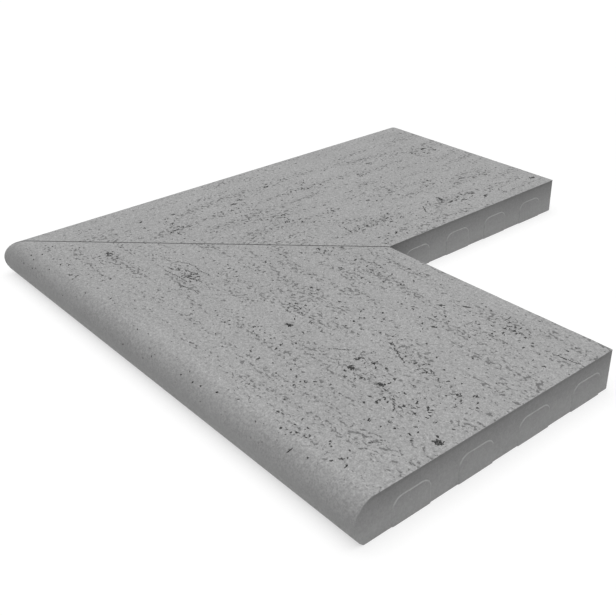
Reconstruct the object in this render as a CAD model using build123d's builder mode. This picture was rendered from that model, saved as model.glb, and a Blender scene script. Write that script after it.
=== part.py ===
from build123d import *
import math
import os

# Pool coping corner stone: two legs of coping cast as one L, mitred at the outer corner.
# Millimetres. +Z is up, and the origin lies on the bed under the middle of the plan.
# One leg runs along +X and the other along +Y, and the stone is the same on both sides of its mitre.

# Plan and thickness
leg_width = 300.0
leg_length = 580.0
thickness = 40.0

# Rounded outer edge: it falls from the top to its foremost line, then draws back to the bed
nose_reach = 20.0
nose_fall = 22.0
nose_undercut = 8.5

# End and inner walls lean in towards the bed, so that the stone leaves its mould
wall_draft = 1.0
top_arris = 1.0
corner_arris = 1.5

# Spacer pads, moulded on the end and inner walls
pad_count = 4
pad_height = 25.0
pad_corner = 9.0
pad_root = 1.5
pad_flank = 4.0
end_pad_width = 38.0
end_pad_from_nose = 37.0
end_pad_from_inner = 15.0
inner_pad_width = 36.0
inner_pad_from_corner = 26.0
inner_pad_from_end = 25.0

# Groove that marks the mitre, over the top and down the rounding
groove_width = 1.6
groove_depth = 1.6

# Places that follow from the sizes
outer = -leg_length / 2
end = leg_length / 2
inner = outer + leg_width
nose_line = thickness - nose_fall
mitre_plane = Plane(origin=(outer, outer, 0), x_dir=(1, 1, 0), z_dir=(1, -1, 0))
end_wall = Plane(origin=(end, outer, 0), x_dir=(0, 1, 0), z_dir=(1, 0, 0))
inner_wall = Plane(origin=(inner, inner, 0), x_dir=(-1, 0, 0), z_dir=(0, 1, 0))


def pad_centres(wall_length, first_gap, last_gap, width):
    """Middles of a row of pads that are spread evenly between the gaps at the wall's two ends."""
    first = first_gap + width / 2
    last = wall_length - last_gap - width / 2
    return [first + (last - first) * i / (pad_count - 1) for i in range(pad_count)]


def pad_sections(wall, middle, width):
    """Outlines of a pad with a rounded top: its face in the wall's plane, and its wider root behind that."""
    sections = []
    for depth, spread in ((0, 0), (pad_root, pad_flank)):
        half = width / 2 + spread
        top = pad_height + spread
        foot_left = (middle - half, 0)
        foot_right = (middle + half, 0)
        with BuildSketch(wall.offset(-depth)) as outline:
            with BuildLine():
                FilletPolyline(
                    foot_left, (middle - half, top), (middle + half, top), foot_right, radius=pad_corner + spread
                )
                Line(foot_right, foot_left)
            make_face()
        sections.append(outline.sketch)
    return sections


with BuildPart() as coping_corner:
    # One leg: its section runs the whole outer length, and the mitre plane cuts it
    with BuildSketch(Plane.YZ.offset(outer)):
        with BuildLine():
            foot = (outer + nose_undercut, 0)
            foremost = (outer, nose_line)
            EllipticalCenterArc(
                (outer + nose_reach, nose_line), nose_reach, nose_fall, start_angle=90, arc_size=90
            )
            TangentArc(foremost, foot, tangent=(0, -1))
            Line(foot, (inner - wall_draft, 0))
            Line((inner - wall_draft, 0), (inner, thickness))
            Line((inner, thickness), (outer + nose_reach, thickness))
        make_face()
    extrude(amount=leg_length)
    split(bisect_by=mitre_plane, keep=Keep.TOP)

    # The end wall's draft
    with BuildSketch(Plane.XZ.offset(-inner)):
        with BuildLine():
            Polyline((end, thickness), (end, 0), (end - wall_draft, 0), close=True)
        make_face()
    extrude(amount=leg_width, mode=Mode.SUBTRACT)

    # Arrises: the upright corner first, then the top edges of the two walls
    near_end = coping_corner.edges().filter_by_position(Axis.X, end - 2 * wall_draft, end)
    fillet(near_end.filter_by_position(Axis.Y, inner - 2 * wall_draft, inner), radius=corner_arris)
    rim = coping_corner.edges().filter_by_position(Axis.Z, thickness, thickness)
    fillet(rim.filter_by(lambda e: max(e.center().X - end, e.center().Y - inner) > -corner_arris), radius=top_arris)

    # Pads on the end wall and on the inner wall
    for middle in pad_centres(leg_width, end_pad_from_nose, end_pad_from_inner, end_pad_width):
        loft(pad_sections(end_wall, middle, end_pad_width))
    for middle in pad_centres(leg_length - leg_width, inner_pad_from_corner, inner_pad_from_end, inner_pad_width):
        loft(pad_sections(inner_wall, -middle, inner_pad_width))

    # The other leg
    mirror(about=mitre_plane)

    # Mitre groove: a band in the mitre plane that follows the top and the rounding
    with BuildSketch(mitre_plane):
        with BuildLine():
            reach = nose_reach * math.sqrt(2)
            far = leg_width * math.sqrt(2)
            EllipticalCenterArc((reach, nose_line), reach, nose_fall, start_angle=90, arc_size=90)
            EllipticalCenterArc(
                (reach, nose_line), reach - groove_depth, nose_fall - groove_depth, start_angle=90, arc_size=90
            )
            Line((0, nose_line), (groove_depth, nose_line))
            Line((reach, thickness), (far, thickness))
            Line((reach, thickness - groove_depth), (far, thickness - groove_depth))
            Line((far, thickness), (far, thickness - groove_depth))
        make_face()
    extrude(amount=groove_width / 2, both=True, mode=Mode.SUBTRACT)

coping_corner.part.label = "coping_corner"
os.makedirs("parts", exist_ok=True)
export_step(coping_corner.part, "parts/coping_corner.step")
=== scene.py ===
# %% [markdown]
# # A corner stone for the edge of a pool
#
# A pool's edge is capped with coping. Where two straight runs meet, one stone turns the corner. It has
# two legs cast as one L, a rounded outer edge, a groove that marks the mitre, and a top that is pitted
# like travertine.
#
# The model that was packed before gives the stone's box and its plain solid. This script dresses it: the
# pits, the worn edges and the finish are made here, and the size stays as it is.

# %% Load the frame
import math
import random

import bmesh
import bpy
from mathutils import Matrix, Vector, geometry, kdtree, noise


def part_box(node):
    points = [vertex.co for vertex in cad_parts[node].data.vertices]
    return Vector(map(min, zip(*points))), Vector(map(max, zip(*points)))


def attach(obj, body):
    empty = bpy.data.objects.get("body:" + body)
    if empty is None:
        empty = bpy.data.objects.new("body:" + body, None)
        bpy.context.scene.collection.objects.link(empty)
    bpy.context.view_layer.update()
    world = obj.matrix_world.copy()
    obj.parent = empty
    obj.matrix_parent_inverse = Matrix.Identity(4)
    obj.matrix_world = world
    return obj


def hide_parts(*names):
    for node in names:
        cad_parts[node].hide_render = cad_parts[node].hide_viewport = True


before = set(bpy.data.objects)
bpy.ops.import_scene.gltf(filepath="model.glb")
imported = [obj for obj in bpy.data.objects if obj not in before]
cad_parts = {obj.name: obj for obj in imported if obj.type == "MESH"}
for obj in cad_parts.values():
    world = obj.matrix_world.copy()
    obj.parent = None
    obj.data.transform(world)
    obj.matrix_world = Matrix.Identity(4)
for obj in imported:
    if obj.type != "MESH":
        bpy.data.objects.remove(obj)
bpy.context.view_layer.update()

lowest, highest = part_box("coping_corner")
mm = 0.001
outer = lowest.x
leg_length = highest.x - lowest.x
thickness = highest.z - lowest.z
print(f"outer edge {leg_length / mm:.0f} mm, thickness {thickness / mm:.0f} mm")

# %% [markdown]
# ## The camera
#
# The photograph is a product picture, taken from above the near leg's end. A camera could be placed by
# eye and nudged until the picture fits. Here its place and turn were worked out from the stone's straight
# edges, so they are written as plain values: where it stands, which way it looks, and how far the picture
# is shifted.

# %% Place the camera
camera_place = Vector((0.6483, -0.6057, 0.4640))
heading = math.radians(139.218)
look_down = math.radians(29.347)
roll = math.radians(-0.906)
picture_width = 616
focal_pixels = 921.8
lens_centre_x = 344
sensor_width = 36

level_ahead = Vector((math.cos(heading), math.sin(heading), 0))
ahead = level_ahead * math.cos(look_down) - Vector((0, 0, math.sin(look_down)))
camera = bpy.data.objects.new("camera", bpy.data.cameras.new("camera"))
bpy.context.scene.collection.objects.link(camera)
turn = ahead.to_track_quat("-Z", "Y").to_matrix().to_4x4() @ Matrix.Rotation(roll, 4, "Z")
camera.matrix_world = Matrix.Translation(camera_place) @ turn
camera.data.sensor_width = sensor_width
camera.data.lens = focal_pixels / picture_width * sensor_width
camera.data.shift_x = (picture_width / 2 - lens_centre_x) / picture_width
bpy.context.scene.camera = camera
print(f"lens {camera.data.lens:.1f} mm, shift {camera.data.shift_x:.3f}")

# %% [markdown]
# ## Floor and light
#
# The stone lies on white, under soft light from above: its top is light, and its walls get about half of
# that, most of it thrown back by the floor. A wide sun lamp and a dim, even world give this from every
# side.
#
# The white behind it isn't made with more light. The floor and the world are white to rays from the
# camera and to mirror-like rays, and the floor still darkens where the stone keeps the light off it.

# %% Set the colour handling, the world and the lamp
bpy.context.scene.view_settings.view_transform = "Standard"
world_level = 0.22
lamp_level = 0.80
lamp_softness = math.radians(70)


def seen_directly(tree):
    """1 for rays from the camera and for mirror-like rays, and 0 for the light that falls on the stone."""
    path = tree.nodes.new("ShaderNodeLightPath")
    total = path.outputs["Is Camera Ray"]
    for other in ("Is Glossy Ray", "Is Transmission Ray"):
        add = tree.nodes.new("ShaderNodeMath")
        add.operation = "ADD"
        add.use_clamp = True
        tree.links.new(total, add.inputs[0])
        tree.links.new(path.outputs[other], add.inputs[1])
        total = add.outputs[0]
    return total


world = bpy.data.worlds.new("studio")
bpy.context.scene.world = world
world.use_nodes = True
background = world.node_tree.nodes["Background"]
background.inputs["Color"].default_value = (1, 1, 1, 1)
strength = world.node_tree.nodes.new("ShaderNodeMapRange")
strength.inputs["To Min"].default_value = world_level
strength.inputs["To Max"].default_value = 1.0
world.node_tree.links.new(seen_directly(world.node_tree), strength.inputs["Value"])
world.node_tree.links.new(strength.outputs["Result"], background.inputs["Strength"])

# A sun of strength pi lights a level white surface to exactly 1
lamp = bpy.data.objects.new("lamp", bpy.data.lights.new("lamp", "SUN"))
lamp.data.energy = lamp_level * math.pi
lamp.data.angle = lamp_softness
bpy.context.scene.collection.objects.link(lamp)
print(f"level on the top: {world_level + lamp_level:.2f}")

# %% Lay the floor
floor_half = 3.0
floor_tone = 0.80
seen_tone = 0.40
seen_glow = 0.62

floor_mesh = bpy.data.meshes.new("floor")
floor_corners = [(-floor_half, -floor_half, 0), (floor_half, -floor_half, 0)]
floor_corners += [(floor_half, floor_half, 0), (-floor_half, floor_half, 0)]
floor_mesh.from_pydata(floor_corners, [], [(0, 1, 2, 3)])
floor = bpy.data.objects.new("floor", floor_mesh)
bpy.context.scene.collection.objects.link(floor)

paper = bpy.data.materials.new("white_floor")
paper.use_nodes = True
paper_shader = paper.node_tree.nodes["Principled BSDF"]
paper_shader.inputs["Roughness"].default_value = 1.0
paper_shader.inputs["Specular IOR Level"].default_value = 0.0
paper_shader.inputs["Emission Color"].default_value = (1, 1, 1, 1)
direct = seen_directly(paper.node_tree)
for socket, unseen, seen in (("Base Color", floor_tone, seen_tone), ("Emission Strength", 0.0, seen_glow)):
    level = paper.node_tree.nodes.new("ShaderNodeMapRange")
    level.inputs["To Min"].default_value = unseen
    level.inputs["To Max"].default_value = seen
    paper.node_tree.links.new(direct, level.inputs["Value"])
    paper.node_tree.links.new(level.outputs["Result"], paper_shader.inputs[socket])
floor_mesh.materials.append(paper)
print(f"floor {2 * floor_half:.0f} m square")

# %% [markdown]
# ## The section of a leg
#
# Cut across, each leg is a slab with one rounded edge: a quarter of an oval falls from the top to the
# foremost line, and an arc draws back from there to the bed. The inner wall leans in towards the bed.
#
# The whole skin of a leg's top and rounding could be modelled in place. It is easier to unroll it into a
# flat sheet, cut the pits there, and roll it back. A place on the sheet is how far along the leg it lies,
# and how far up the section from the bed.

# %% Sizes of the section, and how far back the walls stand at their top and at the bed
leg_width = 300 * mm
nose_reach = 20 * mm
nose_fall = 22 * mm
nose_undercut = 8.5 * mm
wall_back = 0.4 * mm
wall_foot_back = 0.75 * mm
wall_slope = (wall_foot_back - wall_back) / thickness
corner_round = 1.5 * mm
nose_line = thickness - nose_fall
undercut_steps = 5
nose_steps = 14


def section_rows():
    """Points of the rounded edge, from the bed up: distance in from the outer line, height, normal."""
    radius = (nose_undercut ** 2 + nose_line ** 2) / (2 * nose_undercut)
    foot_angle = math.asin(nose_line / radius)
    rows = []
    for i in range(undercut_steps):
        a = foot_angle * (1 - i / undercut_steps)
        across = radius * (1 - math.cos(a))
        height = nose_line - radius * math.sin(a)
        rows.append((across, height, -math.cos(a), -math.sin(a)))
    for i in range(nose_steps + 1):
        a = math.pi / 2 * i / nose_steps
        across = nose_reach * (1 - math.cos(a))
        height = nose_line + nose_fall * math.sin(a)
        slope = Vector((-math.cos(a) / nose_reach, math.sin(a) / nose_fall)).normalized()
        rows.append((across, height, slope.x, slope.y))
    return rows


rows = section_rows()
row_heights = [0.0]
for below, above in zip(rows, rows[1:]):
    row_heights.append(row_heights[-1] + math.dist(below[:2], above[:2]))
crown = row_heights[-1]
print(f"{len(rows)} rows, {crown / mm:.1f} mm round the edge")


# %% Roll a place on the sheet up, and unroll one from the plan
def roll_up(up):
    """The section's point and normal at a distance up the sheet."""
    if up >= crown:
        return nose_reach + up - crown, thickness, 0.0, 1.0
    i = max(k for k in range(len(rows) - 1) if row_heights[k] <= max(up, 0.0))
    share = (up - row_heights[i]) / (row_heights[i + 1] - row_heights[i])
    return tuple(a + (b - a) * share for a, b in zip(rows[i], rows[i + 1]))


def unroll(across):
    """How far up the sheet a place lies, from its distance in from the outer line."""
    if across >= nose_reach:
        return crown + across - nose_reach
    for i in range(undercut_steps, len(rows) - 1):
        if rows[i + 1][0] >= across:
            share = (across - rows[i][0]) / (rows[i + 1][0] - rows[i][0])
            return row_heights[i] + share * (row_heights[i + 1] - row_heights[i])
    return crown


def lean(height):
    """How far back a wall stands between its pads, at a height."""
    return wall_back + wall_slope * (thickness - height)


print(f"the sheet reaches {unroll(leg_width) / mm:.1f} mm up from the bed")

# %% [markdown]
# ## The pits
#
# The face of the mould is dressed so that the top comes out like travertine: thousands of small voids in
# bands that run along each leg, and some larger ones. A bump texture would fake them, but it leaves the
# surface flat from the side, and the darkest pits here are several millimetres wide. So they are cut into
# the mesh.
#
# Each pit is a ragged ring with a floor below it. Because a ring is described by its distance from a
# centre, the depth at any place inside it is easy to work out, also where two pits run into each other.

# %% Describe one pit
ring_share = 0.76
plain_pit = 1.2 * mm
deepest = 2.6 * mm
palest = 0.5
darkest_reach = 1.6 * mm


def make_pit(middle, rim, depth):
    """A pit from its middle and rim on the sheet. A small one is a pale cone, a larger one has a floor."""
    reach = max((corner - middle).length for corner in rim)
    floor_share = ring_share if reach > plain_pit else 0.0
    # How dark a pit is painted: painted shade that deepens as the pit widens, and dust
    shade = min(1.0, palest + (1 - palest) * reach / darkest_reach)
    outline = {"middle": middle, "rim": rim, "reach": reach}
    return dict(outline, depth=depth, floor=floor_share, shade=shade)


print(f"a pit wider than {2 * plain_pit / mm:.1f} mm has a floor, {ring_share} of its rim")

# %% Work out the depth inside a pit
same_place = 1e-7
no_area = 1e-12
slack = 1e-6


def pit_depth(pit, place):
    """How deep a place on the sheet lies because of a pit.

    A ray from the pit's middle through the place meets the rim. The place's share of the way to the rim
    gives the depth: all of it over the floor, then less and less up to the rim.
    """
    ray = place - pit["middle"]
    if ray.length < same_place:
        return pit["depth"]
    rim = pit["rim"]
    for a, b in zip(rim, rim[1:] + rim[:1]):
        start = a - pit["middle"]
        edge = b - a
        cross = ray.x * edge.y - ray.y * edge.x
        if abs(cross) < no_area:
            continue
        out = (start.x * edge.y - start.y * edge.x) / cross
        along = (start.x * ray.y - start.y * ray.x) / cross
        if out > 0 and -slack <= along <= 1 + slack:
            share = 1 / out
            return pit["depth"] * max(0.0, min(1.0, (1 - share) / (1 - pit["floor"])))
    return 0.0


square_rim = [Vector(corner) * mm for corner in ((2, 2), (-2, 2), (-2, -2), (2, -2))]
square_pit = make_pit(Vector((0, 0)), square_rim, mm)
near_rim = Vector((1.8 * mm, 0))
print(f"near the rim of a test pit, {pit_depth(square_pit, near_rim) / mm:.2f} of its depth is left")

# %% Give a pit an uneven outline
small_pit = 2 * mm
small_pit_sides = 6
large_pit_sides = 9
two_lobes = 0.22
three_lobes = 0.18
corner_in = -0.25
corner_out = 0.2


def ragged_ring(draw, middle, length, width, turn, depth):
    """A pit whose rim swells in two and in three places, with a little chance at each corner."""
    sides = small_pit_sides if max(length, width) < small_pit else large_pit_sides
    beat = draw.uniform(0, math.tau)
    rim = []
    for i in range(sides):
        a = math.tau * i / sides
        swell = 1 + two_lobes * math.sin(2 * a + beat) + three_lobes * math.sin(3 * a - 2 * beat)
        swell += draw.uniform(corner_in, corner_out)
        corner = Vector((length / 2 * math.cos(a), width / 2 * math.sin(a))) * swell
        corner.rotate(Matrix.Rotation(turn, 2))
        rim.append(corner + middle)
    return make_pit(middle, rim, depth)


print("pits have", small_pit_sides, "or", large_pit_sides, "corners")

# %% String pits together into a larger void
bead_length = 1.3 * mm
fewest_beads = 3
void_depth = 0.4
least_depth = 0.5 * mm
void_reach = 0.40
bead_wander = 0.3
bead_turn = 0.9
bead_stretch = 2.4
bead_widths = (0.35, 0.85)
taper = 0.5


def ragged_pits(draw, along, up, length, width, turn):
    """A larger void: pits that run into each other like beads on a crooked line, with bays and spurs."""
    middle = Vector((along, up))
    depth = min(deepest, void_depth * min(length, width) + least_depth)
    beads = max(1, round(length / bead_length))
    if beads < fewest_beads:
        return [ragged_ring(draw, middle, length, width, turn, depth)]
    void = []
    for i in range(beads):
        share = (i + 0.5) / beads * 2 - 1
        wander = draw.uniform(-bead_wander, bead_wander) * width
        shift = Vector((void_reach * length * share, wander))
        shift.rotate(Matrix.Rotation(turn, 2))
        swell = draw.uniform(*bead_widths) * (1 - taper * share * share)
        way = turn + draw.uniform(-bead_turn, bead_turn)
        long = bead_stretch * length / beads
        void.append(ragged_ring(draw, middle + shift, long, swell * width, way, depth))
    return void


print("an 8 mm void is made of", len(ragged_pits(random.Random(0), 0, 0, 8 * mm, 5 * mm, 0)), "pits")

# %% [markdown]
# ## Scattering the small pits
#
# The small pits follow a rule: they gather in long streaks, they keep a little apart, and most of them
# are tiny. That is what Geometry Nodes are good at. Points are spread over the flat sheet, more of them
# where a stretched noise is high. Each point gets a small ring of its own size and turn, and a second
# noise makes the ring uneven.
#
# The rings are read back as outlines. Nothing of them shows by itself: they are the lines along which the
# sheet is cut.

# %% Two helpers for node trees
def add_node(tree, kind, values=None, **settings):
    """A node with its settings and plain input values."""
    made = tree.nodes.new(kind)
    for name, value in settings.items():
        setattr(made, name, value)
    for name, value in (values or {}).items():
        made.inputs[name].default_value = value
    return made


def shown(sockets, names=()):
    """The sockets that a node uses for its data type. If names are given, only those with such a name."""
    return [socket for socket in sockets if socket.enabled and (not names or socket.name in names)]


print("helpers for nodes:", add_node.__name__, "and", shown.__name__)

# %% Where the pits gather, and how large each is
rare_power = 3.5


def streak_cloud(tree, given, where):
    """The share of the pits that each place gets, from a noise that is drawn out along X."""
    link = tree.links.new
    streak = add_node(tree, "ShaderNodeCombineXYZ", {"Z": 1.0})
    link(given["Streak length"], streak.inputs["X"])
    link(given["Streak width"], streak.inputs["Y"])
    stretched = add_node(tree, "ShaderNodeVectorMath", operation="DIVIDE")
    link(where, stretched.inputs[0])
    link(streak.outputs[0], stretched.inputs[1])
    apart = add_node(tree, "ShaderNodeVectorMath", operation="ADD")
    link(stretched.outputs[0], apart.inputs[0])
    link(given["Seed"], apart.inputs[1])
    cloud = add_node(tree, "ShaderNodeTexNoise", {"Scale": 1.0, "Detail": 3.0, "Roughness": 0.6})
    link(apart.outputs[0], cloud.inputs["Vector"])
    crowd = add_node(tree, "ShaderNodeMapRange", {"From Min": 0.40, "From Max": 0.68, "To Min": 0.04})
    link(cloud.outputs[0], crowd.inputs["Value"])
    return crowd.outputs["Result"]


def rare_sizes(tree, given):
    """A size for each ring: most lie near the smallest, and few near the largest."""
    link = tree.links.new
    chance = add_node(tree, "FunctionNodeRandomValue", data_type="FLOAT")
    link(given["Seed"], chance.inputs["Seed"])
    rare = add_node(tree, "ShaderNodeMath", {1: rare_power}, operation="POWER")
    link(shown(chance.outputs)[0], rare.inputs[0])
    size = add_node(tree, "ShaderNodeMapRange")
    link(rare.outputs[0], size.inputs["Value"])
    link(given["Smallest"], size.inputs["To Min"])
    link(given["Largest"], size.inputs["To Max"])
    return size.outputs["Result"]


print(f"half of the rings are in the lowest {0.5 ** rare_power:.0%} of the range of sizes")

# %% Put a ring on each point
ring_sides = 7
ring_stretch = (0.9, 1.9)
ring_turn = (-1.2, 1.2)


def chance_between(tree, least_and_most, seed):
    """A random value of its own for each ring."""
    pick = add_node(tree, "FunctionNodeRandomValue", {"Seed": seed}, data_type="FLOAT")
    for socket, value in zip(shown(pick.inputs, ("Min", "Max")), least_and_most):
        socket.default_value = value
    return shown(pick.outputs)[0]


def placed_rings(tree, points, size):
    """A ring on each point, stretched and turned by chance, as real mesh."""
    link = tree.links.new
    long_way = add_node(tree, "ShaderNodeMath", operation="MULTIPLY")
    link(size, long_way.inputs[0])
    link(chance_between(tree, ring_stretch, 11), long_way.inputs[1])
    scale = add_node(tree, "ShaderNodeCombineXYZ", {"Z": 1.0})
    link(long_way.outputs[0], scale.inputs["X"])
    link(size, scale.inputs["Y"])
    turned = add_node(tree, "ShaderNodeCombineXYZ")
    link(chance_between(tree, ring_turn, 12), turned.inputs["Z"])
    circle = {"Vertices": ring_sides, "Radius": 1.0}
    ring = add_node(tree, "GeometryNodeMeshCircle", circle, fill_type="NGON")
    rings = add_node(tree, "GeometryNodeInstanceOnPoints")
    link(points, rings.inputs["Points"])
    link(ring.outputs["Mesh"], rings.inputs["Instance"])
    link(scale.outputs[0], rings.inputs["Scale"])
    link(turned.outputs[0], rings.inputs["Rotation"])
    real = add_node(tree, "GeometryNodeRealizeInstances")
    link(rings.outputs[0], real.inputs[0])
    return real.outputs[0]


print("each ring has", ring_sides, "corners")

# %% Make the rings uneven
grit_scale = 620.0
grit_strength = 2.2


def uneven_rims(tree, rings, where):
    """Shove the rings' corners about by a fine noise, the more the larger a ring is."""
    link = tree.links.new
    grit = add_node(tree, "ShaderNodeTexNoise", {"Scale": grit_scale, "Detail": 2.0})
    link(where, grit.inputs["Vector"])
    centred = add_node(tree, "ShaderNodeVectorMath", {1: (0.5, 0.5, 0.5)}, operation="SUBTRACT")
    link(grit.outputs[1], centred.inputs[0])
    stronger = add_node(tree, "ShaderNodeVectorMath", {"Scale": grit_strength}, operation="SCALE")
    link(centred.outputs[0], stronger.inputs[0])
    own_size = add_node(tree, "GeometryNodeInputNamedAttribute", {"Name": "size"}, data_type="FLOAT")
    flat_size = add_node(tree, "ShaderNodeCombineXYZ", {"Z": 0.0})
    for axis in ("X", "Y"):
        link(own_size.outputs[0], flat_size.inputs[axis])
    shove = add_node(tree, "ShaderNodeVectorMath", operation="MULTIPLY")
    link(stronger.outputs[0], shove.inputs[0])
    link(flat_size.outputs[0], shove.inputs[1])
    uneven = add_node(tree, "GeometryNodeSetPosition")
    link(rings, uneven.inputs["Geometry"])
    link(shove.outputs[0], uneven.inputs["Offset"])
    return uneven.outputs["Geometry"]


print(f"the noise that shoves them wavers about every {1 / grit_scale / mm:.1f} mm")

# %% Build the tree that scatters rings
def pit_scatter_tree(stone):
    """Rings on a flat sheet, thickest in streaks along X."""
    tree = bpy.data.node_groups.new("pit_scatter", "GeometryNodeTree")
    tree.interface.new_socket("Geometry", in_out="OUTPUT", socket_type="NodeSocketGeometry")
    tree.interface.new_socket("Sheet", in_out="INPUT", socket_type="NodeSocketGeometry")
    sizes = ("Pits per square metre", "Closest", "Smallest", "Largest", "Streak length", "Streak width")
    for name in sizes:
        tree.interface.new_socket(name, in_out="INPUT", socket_type="NodeSocketFloat")
    tree.interface.new_socket("Seed", in_out="INPUT", socket_type="NodeSocketInt")
    given = add_node(tree, "NodeGroupInput").outputs
    where = add_node(tree, "GeometryNodeInputPosition").outputs[0]
    link = tree.links.new

    spread = add_node(tree, "GeometryNodeDistributePointsOnFaces", distribute_method="POISSON")
    link(given["Sheet"], spread.inputs["Mesh"])
    link(given["Closest"], spread.inputs["Distance Min"])
    link(given["Pits per square metre"], spread.inputs["Density Max"])
    link(streak_cloud(tree, given, where), spread.inputs["Density Factor"])
    link(given["Seed"], spread.inputs["Seed"])

    size = rare_sizes(tree, given)
    sized = add_node(tree, "GeometryNodeStoreNamedAttribute", {"Name": "size"}, data_type="FLOAT")
    link(spread.outputs["Points"], sized.inputs["Geometry"])
    link(size, sized.inputs["Value"])

    rings = placed_rings(tree, sized.outputs["Geometry"], size)
    finish = add_node(tree, "GeometryNodeSetMaterial", {"Material": stone})
    link(uneven_rims(tree, rings, where), finish.inputs["Geometry"])
    link(finish.outputs[0], add_node(tree, "NodeGroupOutput").inputs[0])
    return tree


stone = bpy.data.materials.new("cast_stone")
scatter = pit_scatter_tree(stone)
print(len(scatter.nodes), "nodes scatter the rings")


# %% Scatter rings over one leg's sheet, and read their outlines
scatter_from = 6 * mm
shallowest = 0.35 * mm
depth_for_size = 1.1


def scattered_pits(name, values):
    """Small pits for a leg, from the tree. Its sheet is the leg's top and the upper part of the rounding."""
    low = row_heights[undercut_steps] + scatter_from
    high = unroll(leg_width)
    corners = [(nose_reach / 2, low, 0), (leg_length, low, 0), (leg_length, high, 0), (leg_width, high, 0)]
    sheet = bpy.data.meshes.new(name)
    sheet.from_pydata(corners, [], [(0, 1, 2, 3)])
    holder = bpy.data.objects.new(name, sheet)
    bpy.context.scene.collection.objects.link(holder)
    nodes = holder.modifiers.new("scatter", "NODES")
    nodes.node_group = scatter
    for item in scatter.interface.items_tree:
        if item.in_out == "INPUT" and item.name in values:
            nodes[item.identifier] = values[item.name]
    bpy.context.view_layer.update()
    graph = bpy.context.evaluated_depsgraph_get()
    rings = bpy.data.meshes.new_from_object(holder.evaluated_get(graph))
    bpy.data.objects.remove(holder)
    sizes = rings.attributes["size"].data
    pits = []
    for ring in rings.polygons:
        rim = [rings.vertices[i].co.to_2d() for i in ring.vertices]
        middle = sum(rim, Vector((0, 0))) / len(rim)
        size = sizes[ring.vertices[0]].value
        pits.append(make_pit(middle, rim, shallowest + depth_for_size * size))
    bpy.data.meshes.remove(rings)
    print(name, len(pits), "pits")
    return pits


scatter_values = {
    "Pits per square metre": 60000.0,
    "Closest": 1.2 * mm,
    "Smallest": 0.32 * mm,
    "Largest": 0.9 * mm,
    "Streak length": 90 * mm,
    "Streak width": 24 * mm,
}
near_small = scattered_pits("near_leg_pits", dict(scatter_values, Seed=5))
far_small = scattered_pits("far_leg_pits", dict(scatter_values, Seed=12))

# %% [markdown]
# ## Placing the pits that stand out
#
# A scatter never repeats the few pits that the eye picks out. Those are listed, in millimetres:
# along the leg, in from its outer line, and their length and width. A row of pits has a start, an end and a
# width, and a cluster has a middle, a length, a width and a count. Loops fill both in.

# %% Pits of the near leg and of the far leg
near_large = [
    (448, 113, 8, 6), (484, 115, 8, 6), (442, 128, 4, 9), (357, 119, 9, 5), (377, 120, 6, 3),
    (425, 247, 7, 4), (443, 263, 10, 3), (456, 276, 4, 3), (463, 275, 4, 3), (529, 253, 5, 4),
    (554, 269, 6, 4), (512, 262, 5, 2), (413, 223, 4, 3), (509, 238, 4, 2), (490, 97, 5, 3),
    (493, 88, 4, 4), (455, 101, 5, 3), (526, 85, 5, 4), (534, 82, 4, 3), (547, 85, 5, 3),
    (553, 81, 4, 3), (568, 94, 9, 8), (563, 99, 5, 4), (526, 115, 5, 3), (541, 110, 5, 3),
    (447, 44, 5, 3), (412, 62, 4, 3), (479, 29, 4, 3), (497, 25, 4, 2), (515, 12, 4, 2),
    (313, 79, 4, 3), (330, 149, 5, 3), (304, 131, 4, 3), (377, 159, 5, 3), (335, 278, 5, 2),
    (316, 263, 5, 2), (348, 258, 4, 3), (365, 279, 5, 3), (397, 277, 5, 2), (334, 246, 4, 2),
    (361, 232, 5, 2), (354, 208, 4, 2), (110, 72, 7, 5), (122, 58, 4, 3), (122, 44, 4, 3),
    (127, 72, 5, 3), (64, 18, 4, 3), (187, 140, 5, 3), (218, 149, 5, 3), (226, 144, 4, 3),
    (222, 160, 4, 2), (246, 140, 4, 3), (277, 162, 4, 3), (264, 186, 4, 2), (223, 100, 6, 3),
    (223, 88, 5, 3), (192, 117, 4, 3), (277, 233, 5, 2), (263, 214, 4, 2), (233, 62, 4, 3),
]
far_large = [
    (259, 85, 8, 6), (246, 92, 8, 5), (177, 68, 7, 4), (138, 62, 6, 6), (133, 79, 5, 3),
    (236, 129, 5, 3), (151, 133, 4, 3), (181, 140, 5, 3), (174, 153, 5, 2), (295, 121, 5, 3),
    (267, 156, 5, 3), (274, 179, 4, 3), (241, 213, 4, 2), (567, 276, 8, 8), (559, 285, 4, 3),
    (561, 223, 4, 3), (533, 265, 4, 3), (506, 283, 6, 4), (475, 259, 9, 7), (481, 276, 8, 5),
    (454, 267, 8, 5), (438, 260, 7, 5), (434, 246, 5, 11), (429, 292, 5, 3), (552, 123, 7, 5),
    (544, 110, 8, 5), (520, 124, 6, 4), (575, 113, 4, 3), (502, 218, 7, 4), (418, 242, 5, 3),
    (416, 127, 6, 4), (403, 151, 4, 3), (368, 217, 4, 3), (347, 254, 6, 5), (334, 238, 5, 3),
    (320, 226, 5, 3), (340, 268, 4, 3), (339, 287, 4, 2), (303, 292, 4, 3), (334, 68, 5, 3),
    (307, 74, 8, 6), (306, 108, 4, 3), (352, 121, 5, 3), (520, 259, 5, 3), (500, 241, 4, 3),
    (488, 256, 5, 3), (454, 100, 11, 4), (436, 113, 4, 3), (490, 123, 5, 3),
]
near_rows = [
    ((413, 120), (427, 132), 2.2), ((503, 110), (516, 99), 2.2), ((443, 167), (472, 153), 2.4),
    ((500, 158), (511, 155), 2.2), ((549, 256), (574, 259), 2.2), ((180, 100), (192, 104), 1.6),
    ((198, 108), (216, 113), 2.0), ((208, 118), (226, 121), 2.0), ((212, 102), (230, 108), 2.0),
    ((176, 114), (206, 121), 1.8), ((184, 94), (222, 97), 1.8), ((226, 88), (250, 92), 1.8),
]
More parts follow.
